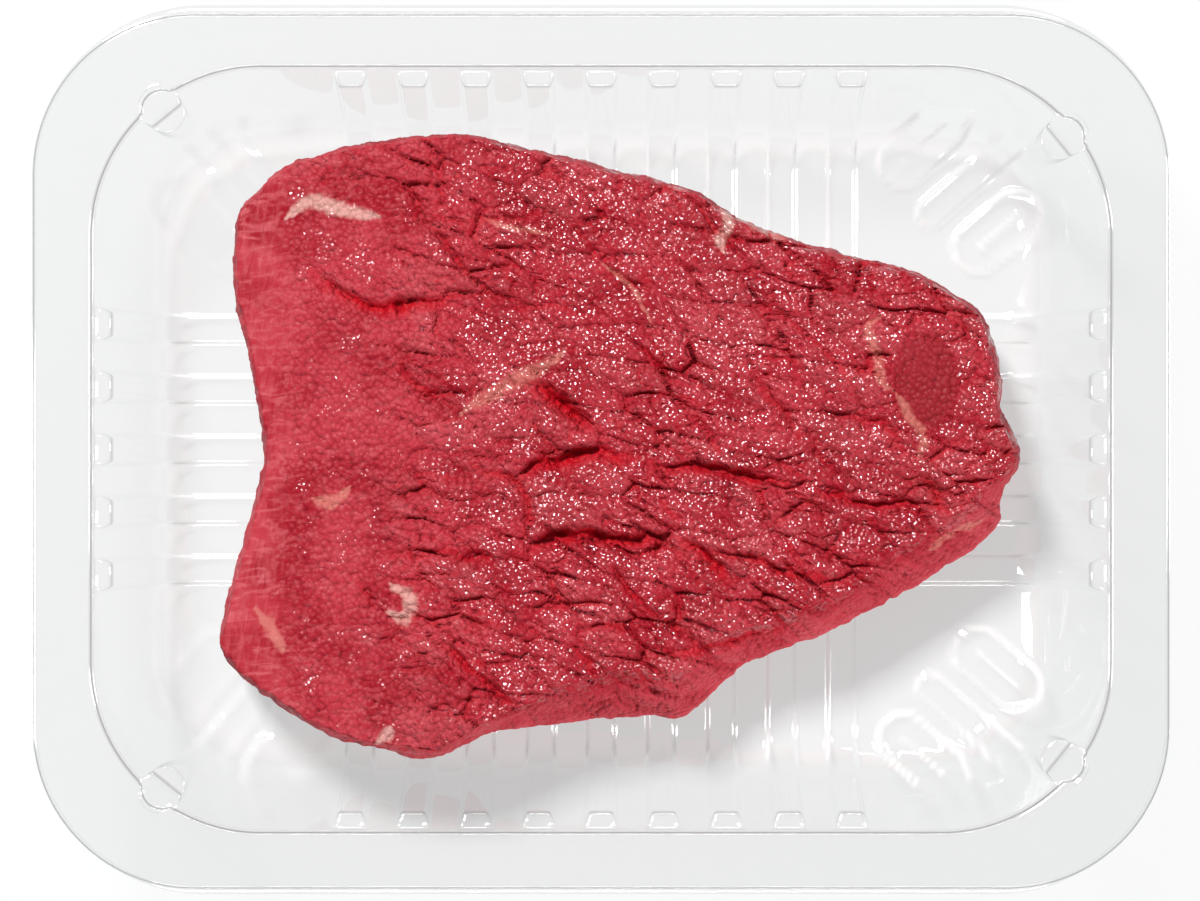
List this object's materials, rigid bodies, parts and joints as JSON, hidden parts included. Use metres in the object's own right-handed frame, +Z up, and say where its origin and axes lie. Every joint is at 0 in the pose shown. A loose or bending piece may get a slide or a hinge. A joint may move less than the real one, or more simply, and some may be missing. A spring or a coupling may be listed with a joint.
{
  "type": "meat tray pack",
  "caption": "Clear formed plastic tray with round corners, ribbed walls and a flat rim, holding one thick raw beef steak.",
  "frame": {"origin": "middle of the tray's base, on the surface that it stands on", "axes": "+Z up, +X along the tray's long side, +Y along its short side towards the top of the picture"},
  "size_m": [0.228, 0.178, 0.04],
  "materials": {
    "clear_tray": "clear thermoformed sheet, glossy, with slightly rounded folds",
    "raw_beef": "moist raw beef, coarse grained and glossy on the cut face, fine vertical grain at the left, cream fat seams"
  },
  "bodies": {
    "root": {"tray": "clear_tray", "steak": "raw_beef"}
  },
  "joints": []
}
